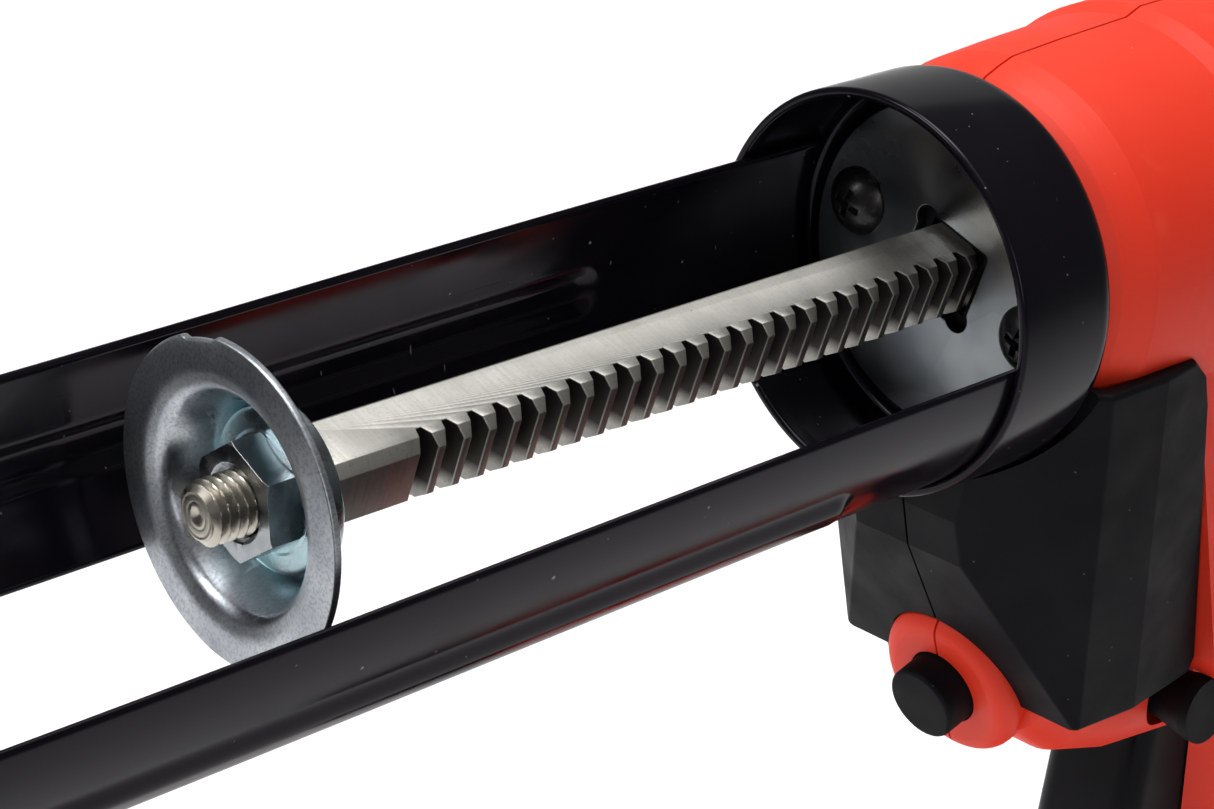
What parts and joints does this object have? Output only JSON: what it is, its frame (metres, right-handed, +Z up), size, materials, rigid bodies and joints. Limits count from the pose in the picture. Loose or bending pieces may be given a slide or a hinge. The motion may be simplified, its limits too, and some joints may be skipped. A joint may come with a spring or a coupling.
{
  "type": "caulking gun",
  "caption": "Battery caulking gun: toothed push rod with dished plunger, open half-round cartridge carrier that swivels, pistol grip and slide-off battery.",
  "frame": {"origin": "centre of the battery's base", "axes": "+X forward along the push rod, +Y to the tool's left, +Z up"},
  "size_m": [0.5111, 0.074, 0.2632],
  "materials": {
    "orange_shell": "satin moulded",
    "black_shell": "matte moulded",
    "black_rubber": "matte",
    "trigger_black": "satin",
    "black_enamel": "gloss",
    "galvanised": "satin",
    "zinc": "bright zinc",
    "nickel": "bright",
    "rod_steel": "ground",
    "black_screws": "black oxide",
    "handle_steel": "gloss",
    "cast_metal": "cast",
    "bronze": "sintered",
    "spring_steel": "drawn",
    "cell_wrap": "gloss"
  },
  "bodies": {
    "housing": {"housing_left": "orange_shell", "housing_right": "orange_shell", "gear_cover_left": "black_shell", "gear_cover_right": "black_shell", "drive_bracket": "cast_metal", "upper_bush": "bronze", "lower_bush": "bronze", "front_rod_guide": "black_shell", "rear_rod_guide": "black_shell", "gearbox_case": "cast_metal", "motor_can": "cast_metal", "motor_cap": "black_shell", "retaining_plate": "galvanised", "plate_screws": "black_screws", "grip_pad": "black_rubber", "housing_screws": "black_screws", "trigger_switch": "black_shell", "trigger_spring": "spring_steel", "release_spring": "spring_steel", "spring_seat": "black_shell", "terminal_block": "black_shell"},
    "carrier": {"rear_collar": "black_enamel", "side_rail_left": "black_enamel", "side_rail_right": "black_enamel", "front_plate": "black_enamel"},
    "rod": {"rack_rod": "rod_steel", "plunger_plate": "zinc", "plunger_nut": "nickel", "nut_washer": "zinc", "plunger_washer": "nickel", "pull_handle": "handle_steel", "handle_pin": "nickel"},
    "pinion": {"rack_pinion": "rod_steel", "pinion_shaft": "rod_steel", "bevel_wheel": "rod_steel"},
    "output": {"output_pinion": "rod_steel"},
    "trigger": {"trigger": "trigger_black"},
    "direction": {"direction_button": "black_rubber"},
    "release": {"release_button": "black_rubber"},
    "battery": {"battery_lower": "black_shell", "battery_upper": "black_shell", "battery_cells": "cell_wrap", "battery_tray": "black_shell", "latch_spring": "spring_steel"},
    "latch": {"battery_latch": "black_shell"}
  },
  "joints": [
    {"name": "carrier_swivel", "type": "hinge", "parent": "housing", "child": "carrier", "pos_m": [0.085, 0, 0.232], "axis": [1, 0, 0], "continuous": true},
    {"name": "rod_slide", "type": "slide", "parent": "housing", "child": "rod", "axis": [1, 0, 0], "range_m": [-0.102, 0.102]},
    {"name": "pinion_spin", "type": "hinge", "parent": "housing", "child": "pinion", "pos_m": [0.04786, 0.01071, 0.22836], "axis": [0, 0.3223, 0.9466], "range_deg": [-800, 800]},
    {"name": "output_spin", "type": "hinge", "parent": "housing", "child": "output", "pos_m": [0.02586, -0.00412, 0.18481], "axis": [1, 0, 0], "range_deg": [-2130, 2130]},
    {"name": "trigger_pull", "type": "slide", "parent": "housing", "child": "trigger", "axis": [-1, 0, 0], "range_m": [0, 0.007], "stiffness_N_per_m": 600, "springref_m": -0.004, "deforming": ["trigger_spring"]},
    {"name": "direction_slide", "type": "slide", "parent": "housing", "child": "direction", "axis": [0, 1, 0], "range_m": [-0.0025, 0.0025]},
    {"name": "release_press", "type": "slide", "parent": "housing", "child": "release", "axis": [-0.9613, 0, 0.2756], "range_m": [0, 0.003], "stiffness_N_per_m": 500, "springref_m": -0.003, "deforming": ["release_spring"]},
    {"name": "battery_slide", "type": "slide", "parent": "housing", "child": "battery", "axis": [1, 0, 0], "range_m": [0, 0.06]},
    {"name": "latch_press", "type": "slide", "parent": "battery", "child": "latch", "axis": [0, 0, -1], "range_m": [0, 0.003], "stiffness_N_per_m": 500, "springref_m": -0.003, "deforming": ["latch_spring"]}
  ],
  "couplings": [
    {"joint": "pinion_spin", "follows": "rod_slide", "rad_per_m": 133.33},
    {"joint": "output_spin", "follows": "rod_slide", "rad_per_m": 355.56}
  ]
}
